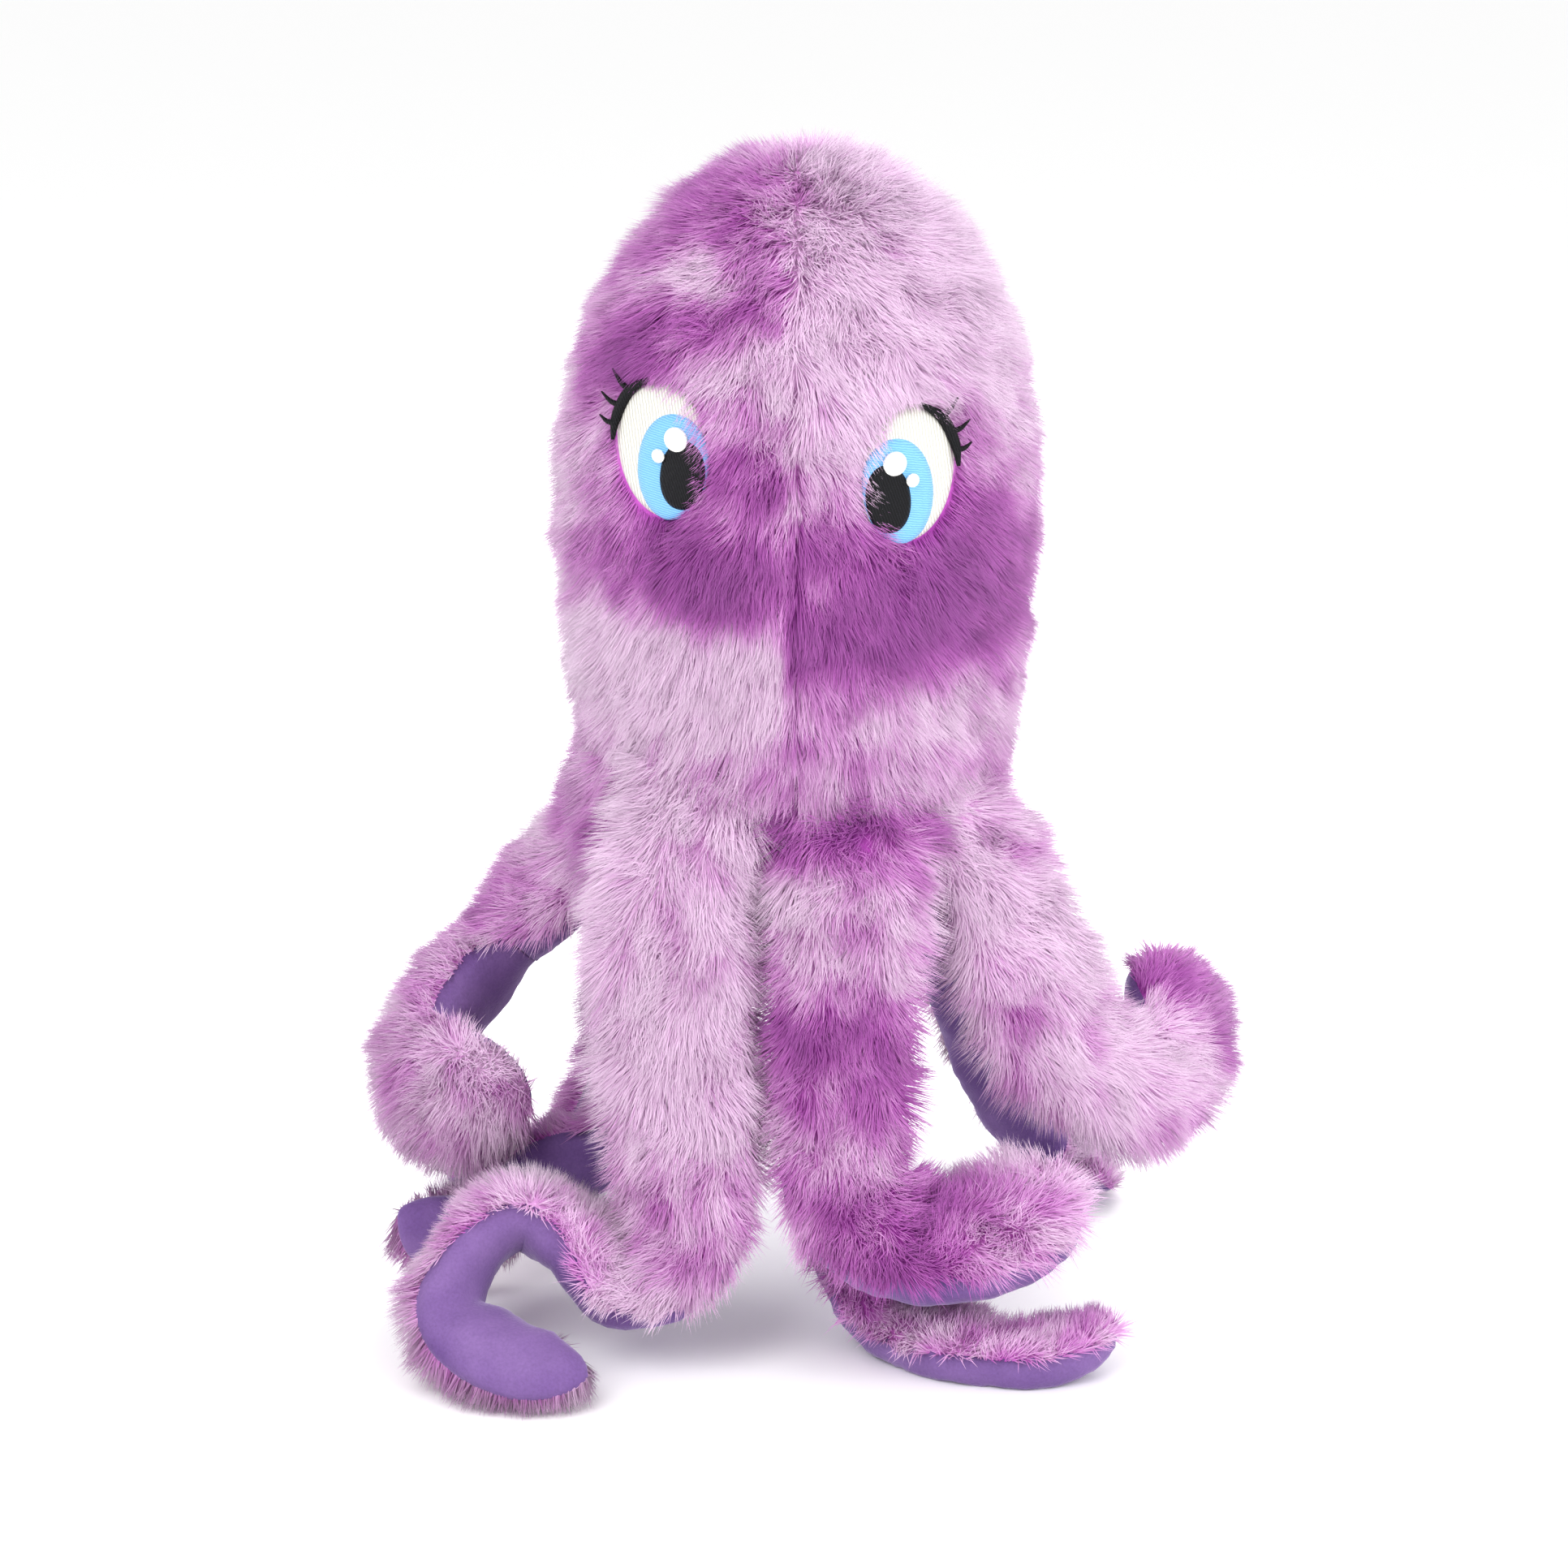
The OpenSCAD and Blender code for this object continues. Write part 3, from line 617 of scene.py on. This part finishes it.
def puffSkins(pieces):
    # cloth under gentle pressure, all skins in one run; no point moves further than the cap
    before = []
    for piece in pieces:
        co = np.empty(len(piece.data.vertices) * 3)
        piece.data.vertices.foreach_get("co", co)
        before.append(co.reshape(-1, 3))
        cloth = piece.modifiers.new("stuffing", "CLOTH")
        cloth.settings.quality = 4
        cloth.settings.mass = 0.15
        cloth.settings.use_pressure = True
        cloth.settings.uniform_pressure_force = stuffing["pressure"]
        cloth.settings.tension_stiffness = stuffing["stiffness"]
        cloth.settings.compression_stiffness = stuffing["stiffness"]
        cloth.settings.bending_stiffness = stuffing["bending"]
        cloth.settings.effector_weights.gravity = 0
        cloth.collision_settings.use_collision = False
        cloth.point_cache.frame_end = stuffing["frames"]
    for step in range(1, stuffing["frames"] + 1):
        bpy.context.scene.frame_set(step)
    graph = bpy.context.evaluated_depsgraph_get()
    for piece, old in zip(pieces, before):
        swollen = piece.evaluated_get(graph).data
        co = np.empty(len(swollen.vertices) * 3)
        swollen.vertices.foreach_get("co", co)
        move = co.reshape(-1, 3) - old
        far = np.linalg.norm(move, axis=1, keepdims=True)
        co = old + move * np.minimum(1, stuffing["cap"] * mm / np.maximum(far, 1e-9))
        co[:, 2] = np.maximum(co[:, 2], 0.1 * mm)
        piece.modifiers.remove(piece.modifiers["stuffing"])
        piece.data.vertices.foreach_set("co", co.ravel())
        piece.data.update()
    bpy.context.scene.frame_set(1)


skins = {(arm["name"], part): armSkin(arm, part, index) for index, arm in enumerate(arms) for part in ("upper", "lower")}
print("arm skins made")
puffSkins(list(skins.values()))
print("arm skins stuffed")

for index, arm in enumerate(arms):
    for part in ("upper", "lower"):
        skin = skins[arm["name"], part]
        coat = armFur(arm, part, index)
        cad = "upper" if part == "upper" else "tip"
        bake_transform(skin)
        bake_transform(coat)
        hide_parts(f"{arm['name']}_{cad}_velour", f"{arm['name']}_{cad}_fill")
        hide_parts(f"{arm['name']}_{cad}_fur")
    print(arm["name"], "made")

# head
head = {"x": 3.0, "radius": 52.5, "taper": 6.0, "baseZ": 137.0, "midZ": 205.0, "topZ": 281.0, "lean": 3.0, "pile": 10.0, "seamPinch": 1.3}


def headRadius(z):
    low = head["radius"] - head["taper"] * np.clip((head["midZ"] - z) / (head["midZ"] - head["baseZ"]), 0, 1) ** 2.2
    up = np.clip((z - head["midZ"]) / (head["topZ"] - head["midZ"]), 0, 1)
    return np.where(z > head["midZ"], head["radius"] * np.sqrt(np.clip(1 - up ** 2, 0, 1)), low)


def headCentre(z):
    up = np.clip((z - head["midZ"]) / (head["topZ"] - head["midZ"]), 0, 1)
    x = head["x"] + shift[0] + head["lean"] * up ** 2
    return np.stack([x, np.full_like(x, shift[1]), z], -1)


def headPoint(around, z, grow=0.0):
    # around: 0 at the right, counter-clockwise from above; the face is at 270 degrees
    c = headCentre(z)
    r = headRadius(z) + grow
    seam = np.minimum.reduce([np.abs(((np.degrees(around) - k + 180) % 360) - 180) for k in (0, 90, 180, 270)])
    r = r - head["seamPinch"] * np.exp(-(seam / 2.2) ** 2) * (z < head["topZ"] - 3)
    return c + np.stack([r * np.cos(around), r * np.sin(around), np.zeros_like(z)], -1)


def headDepth(p):
    depth = darkness(p)
    for x, zz, w, h, amount in dyeAndPaintedLight["facePatches"]:
        wobble = smoothNoise(p, 0.09, 21) * 5
        d = ((p[:, 0] - shift[0] - x + wobble) / w) ** 2 + ((p[:, 2] - zz + wobble) / h) ** 2
        # the seam down the face cuts a patch off
        across = np.clip(0.5 + (p[:, 0] - shift[0]) * np.sign(x) / 2.5, 0.15, 1) if abs(x) > 5 else 1
        depth = depth + np.where(p[:, 1] < shift[1] + 8, amount * np.exp(-d * 0.8), 0) * across
    return depth


clearSelection()
bpy.ops.mesh.primitive_uv_sphere_add(segments=96, ring_count=64, radius=1, location=(0, 0, 0))
headSkin = bpy.context.object
headSkin.name = "head_skin"
co = np.array([v.co for v in headSkin.data.vertices])
angleUp = np.arcsin(np.clip(co[:, 2], -1, 1))
around = np.arctan2(co[:, 1], co[:, 0])
flatBottom = angleUp < math.radians(-60)
z = np.where(angleUp > 0, head["midZ"] + (head["topZ"] - head["midZ"]) * np.sin(angleUp),
             head["midZ"] - (head["midZ"] - head["baseZ"]) * np.clip(angleUp / math.radians(-60), 0, 1))
p = headPoint(around, z)
inward = np.clip((np.degrees(-angleUp) - 60) / 30, 0, 1)[:, None]
axis = headCentre(z)
p = p * (1 - inward) + axis * inward
p[:, 2] -= 2.5 * np.sin(inward[:, 0] * math.pi * 0.5)
p += unit(p - axis) * smoothNoise(p, 0.05, 30)[:, None] * 0.8
headSkin.data.vertices.foreach_set("co", (p * mm).ravel())
headSkin.data.update()
headSkin.data.materials.append(backingLook)
headSkin.data.materials.append(velourLook)
for face in headSkin.data.polygons:
    face.material_index = 1 if face.center.z < (head["baseZ"] - 0.2) * mm else 0
    face.use_smooth = True
paintDyeAndShade(headSkin.data, headDepth(p))
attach(headSkin, "head")
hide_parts("head_fill", "head_base")
print("head skin made")

eye = {"sunk": 1.6, "half": 28.3, "toLeft": 2.7, "z": 215.5, "step": 5.0, "width": 22.5, "height": 32.5, "irisIn": 2.3, "irisDown": 3.4, "pupilIn": 4.4, "pupilDown": 4.8}
faceX = head["x"] + shift[0]


def eyeCentre(side):
    # side is -1 for the left eye and 1 for the right one, x from the middle of the face
    return side * eye["half"] - eye["toLeft"], eye["z"] - side * eye["step"] / 2


def insideEye(p, margin):
    # how deep a point of the face lies inside an eye, 1 at its rim
    best = np.full(len(p), 9.0)
    for side in (-1, 1):
        cx, cz = eyeCentre(side)
        dx = (p[:, 0] - faceX - cx) / (eye["width"] / 2 + margin)
        dz = (p[:, 2] - cz) / (eye["height"] / 2 + margin)
        best = np.minimum(best, np.where(p[:, 1] < shift[1], np.sqrt(dx ** 2 + dz ** 2), 9.0))
    return best


def headFur(name, fromAngle, seed):
    rng = np.random.default_rng(seed)
    tries = 110000
    around = np.radians(rng.uniform(fromAngle, fromAngle + 90, tries))
    # place along the outline, from the lower edge up to the crown
    table = np.concatenate([np.linspace(head["baseZ"] - 1, head["midZ"], 60), head["midZ"] + (head["topZ"] - head["midZ"]) * np.sin(np.radians(np.linspace(1, 90, 90)))])
    r = headRadius(table)
    arc = np.concatenate([[0], np.cumsum(np.hypot(np.diff(r), np.diff(table)))])
    where = rng.uniform(0, arc[-1], tries)
    z = np.interp(where, arc, table)
    radius = np.interp(where, arc, r)
    keep = rng.uniform(0, head["radius"], tries) < radius
    around, z, where = around[keep], z[keep], where[keep]
    area = math.radians(90) * np.sum((r[1:] + r[:-1]) / 2 * np.diff(arc))
    want = min(int(area * fur["perSquareMm"]), 47500)
    around, z, where = around[:want], z[:want], where[:want]
    slopeR, slopeZ = np.interp(where, arc, np.gradient(r, arc)), np.interp(where, arc, np.gradient(table, arc))
    p = headPoint(around, z)
    outward = np.stack([np.cos(around), np.sin(around), np.zeros_like(z)], -1)
    nor = unit(outward * slopeZ[:, None] + np.array([0, 0, 1.0]) * -slopeR[:, None])
    down = unit(np.array([0, 0, -1.0]) - nor * (-nor[:, 2])[:, None])
    flow = down * 0.42
    # the seam down the face parts the pile a little
    rim = insideEye(p, 0.5)
    off = p[:, 0] - faceX
    lean, length, width, hang = groom(p, nor, flow, seed + 1, head["pile"], 0.45)
    near = np.clip((rim - 1.0) / 0.4, 0, 1)
    noseSide = np.clip(1.0 - np.abs(off + eye["toLeft"]) / eye["half"], 0, 1) > 0.12
    away = np.sign(off)[:, None] * np.array([1.0, 0, 0]) * np.exp(-(off / 5) ** 2)[:, None] * (p[:, 1] < shift[1])[:, None]
    lean = unit(lean + away * 0.22)
    length = length * np.where(noseSide, 0.9 + 0.1 * near, 0.6 + 0.4 * near)
    # locks beside an eye fold away from it
    for side in (-1, 1):
        cx, cz = eyeCentre(side)
        fromEye = p - np.array([faceX + cx, 0, cz])
        fromEye[:, 1] = 0
        close = np.clip(1.9 - rim, 0, 0.9)[:, None] * (np.sign(p[:, 0] - faceX) == side)[:, None]
        inner = (np.sign(fromEye[:, 0]) == -side)[:, None]
        lean = unit(lean + unit(fromEye) * close * np.where(inner, -0.75, 0.3))
    depth = headDepth(p + lean * (length * 0.6)[:, None] + hang * (length * 0.25)[:, None])
    keep = rim > 0.97
    return furPiece(name, (p - nor * 0.4)[keep], lean[keep], length[keep], width[keep], hang[keep], depth[keep], seed + 2, nor[keep])


panels = [("head_front_left", 180, 410), ("head_front_right", 270, 420), ("head_back_left", 90, 430), ("head_back_right", 0, 440)]
for node, fromAngle, seed in panels:
    coat = headFur(node + "_fur", fromAngle, seed)
    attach(coat, "head")
    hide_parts(node)
print("head fur made")


# eyes
def faceSurface(x, z, out):
    # point in front of the face at x, z from the middle of the face, out mm above the CAD head
    z = np.asarray(z, float)
    r = headRadius(z) + eye["sunk"] + out
    y = -np.sqrt(np.maximum(r ** 2 - np.asarray(x, float) ** 2, 1.0))
    return np.stack([faceX + x, shift[1] + y, z], -1)


def eyePatch(name, centreX, centreZ, width, height, low, high, look, power=2.3, clip=None, tilt=0.0):
    # a padded oval that follows the face; clip keeps it inside the white of the eye
    ringCount, around = 14, 72
    verts, faces = [], []
    angle = np.linspace(0, 2 * math.pi, around, endpoint=False)
    cx = np.sign(np.cos(angle)) * np.abs(np.cos(angle)) ** (2 / power)
    cz = np.sign(np.sin(angle)) * np.abs(np.sin(angle)) ** (2 / power)
    dx, dz = cx * width / 2, cz * height / 2
    c, s = math.cos(math.radians(tilt)), math.sin(math.radians(tilt))
    dx, dz = dx * c - dz * s, dx * s + dz * c
    if clip:
        rx, rz = (centreX + dx - clip[0]) / (clip[2] / 2), (centreZ + dz - clip[1]) / (clip[3] / 2)
        over = np.maximum((np.abs(rx) ** power + np.abs(rz) ** power) ** (1 / power), 1)
        dx = clip[0] + (centreX + dx - clip[0]) / over - centreX
        dz = clip[1] + (centreZ + dz - clip[1]) / over - centreZ
    for layer in ("top", "bottom"):
        for k in range(1, ringCount + 1):
            f = k / ringCount
            height0 = high - (high - low) * 0.55 * max(0, (f - 0.86) / 0.14) ** 2 if layer == "top" else low
            for v in faceSurface(centreX + dx * f, centreZ + dz * f, height0):
                verts.append(v)
        verts.append(faceSurface(np.array([centreX]), np.array([centreZ]), high if layer == "top" else low)[0])
    size = ringCount * around + 1
    for layer in range(2):
        o = layer * size
        for k in range(ringCount - 1):
            for j in range(around):
                a, b = o + k * around + j, o + k * around + (j + 1) % around
                faces.append((a, b, b + around, a + around))
        for j in range(around):
            faces.append((o + size - 1, o + (j + 1) % around, o + j))
    for j in range(around):
        a, b = (ringCount - 1) * around + j, (ringCount - 1) * around + (j + 1) % around
        faces.append((a, b, b + size, a + size))
    mesh = bpy.data.meshes.new(name)
    mesh.from_pydata([tuple(np.array(v) * mm) for v in verts], [], faces)
    mesh.materials.append(look)
    work = bmesh.new()
    work.from_mesh(mesh)
    bmesh.ops.remove_doubles(work, verts=work.verts, dist=1e-7)
    bmesh.ops.recalc_face_normals(work, faces=work.faces)
    work.to_mesh(mesh)
    work.free()
    mesh.polygons.foreach_set("use_smooth", [True] * len(mesh.polygons))
    piece = bpy.data.objects.new(name, mesh)
    bpy.context.collection.objects.link(piece)
    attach(piece, "head")
    return piece


def lash(name, points, radii, look):
    # a raised bar of black stitches along a few points of the face
    pts = np.array(points, float)
    u = np.linspace(0, len(pts) - 1, 24)
    rows = np.concatenate([pts, np.array(radii, float)[:, None]], 1)
    q = routePoint(rows, u)
    p = faceSurface(q[:, 0], q[:, 1], q[:, 2])
    t = unit(np.gradient(p, axis=0))
    a = unit(np.cross(t, np.array([0, -1.0, 0])))
    b = np.cross(t, a)
    around = 10
    verts, faces = [], []
    for i in range(len(p)):
        for j in range(around):
            k = 2 * math.pi * j / around
            verts.append(tuple((p[i] + (a[i] * math.cos(k) + b[i] * math.sin(k)) * q[i, 3]) * mm))
    for i in range(len(p) - 1):
        for j in range(around):
            m, k = i * around + j, i * around + (j + 1) % around
            faces.append((m, k, k + around, m + around))
    faces.append(tuple(range(around)))
    faces.append(tuple(range((len(p) - 1) * around, len(p) * around)))
    mesh = bpy.data.meshes.new(name)
    mesh.from_pydata(verts, [], faces)
    mesh.materials.append(look)
    work = bmesh.new()
    work.from_mesh(mesh)
    bmesh.ops.recalc_face_normals(work, faces=work.faces)
    work.to_mesh(mesh)
    work.free()
    mesh.polygons.foreach_set("use_smooth", [True] * len(mesh.polygons))
    piece = bpy.data.objects.new(name, mesh)
    bpy.context.collection.objects.link(piece)
    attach(piece, "head")
    return piece


for side, word in ((-1, "left"), (1, "right")):
    cx, cz = eyeCentre(side)
    white = eyePatch(f"eye_{word}_white_patch", cx, cz, eye["width"], eye["height"], -4.5, 1.4, whiteThread, 2.15, tilt=-side * 6)
    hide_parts(f"eye_{word}_white")
    limit = (cx, cz, eye["width"] - 1.2, eye["height"] - 0.8)
    iris = eyePatch(f"eye_{word}_iris_patch", cx - side * eye["irisIn"], cz - eye["irisDown"], 17.0, 25.0, 0.6, 2.2, blueThread, 2.1, limit, tilt=side * 6)
    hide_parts(f"eye_{word}_iris")
    pupil = eyePatch(f"eye_{word}_pupil_patch", cx - side * eye["pupilIn"], cz - eye["pupilDown"], 10.6, 16.4, 1.4, 2.9, blackThread, 2.1, limit, tilt=side * 8)
    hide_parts(f"eye_{word}_pupil")
    for word2, dx, dz, size in (("big", -2.9, 3.4, 5.6), ("small", 1.3, -0.8, 3.1)):
        shine = eyePatch(f"eye_{word}_shine_{word2}", cx + side * dx, cz + dz, size, size, 1.8, 3.5, shineThread, 2.0)
    w, h = eye["width"] / 2, eye["height"] / 2
    outer = [(cx + side * (w * 0.28), cz + h * 1.0, 1.6), (cx + side * (w * 0.72), cz + h * 0.78, 1.6), (cx + side * (w * 1.0), cz + h * 0.4, 1.6), (cx + side * (w * 1.09), cz + h * 0.05, 1.6)]
    lash(f"eye_{word}_lash_line", outer, [0.5, 1.3, 1.25, 0.45], blackThread)
    for number, (px, pz, ex, ez) in enumerate(((0.74, 0.8, 1.08, 1.06), (0.93, 0.56, 1.32, 0.71), (1.04, 0.3, 1.36, 0.39))):
        flick = [(cx + side * w * px, cz + h * pz, 1.8), (cx + side * w * (px + ex) / 2, cz + h * (pz + ez) / 2 - 0.6, 2.8), (cx + side * w * ex, cz + h * ez, 3.6)]
        lash(f"eye_{word}_lash_{number}", flick, [0.8, 0.6, 0.2], blackThread)
print("eyes made")
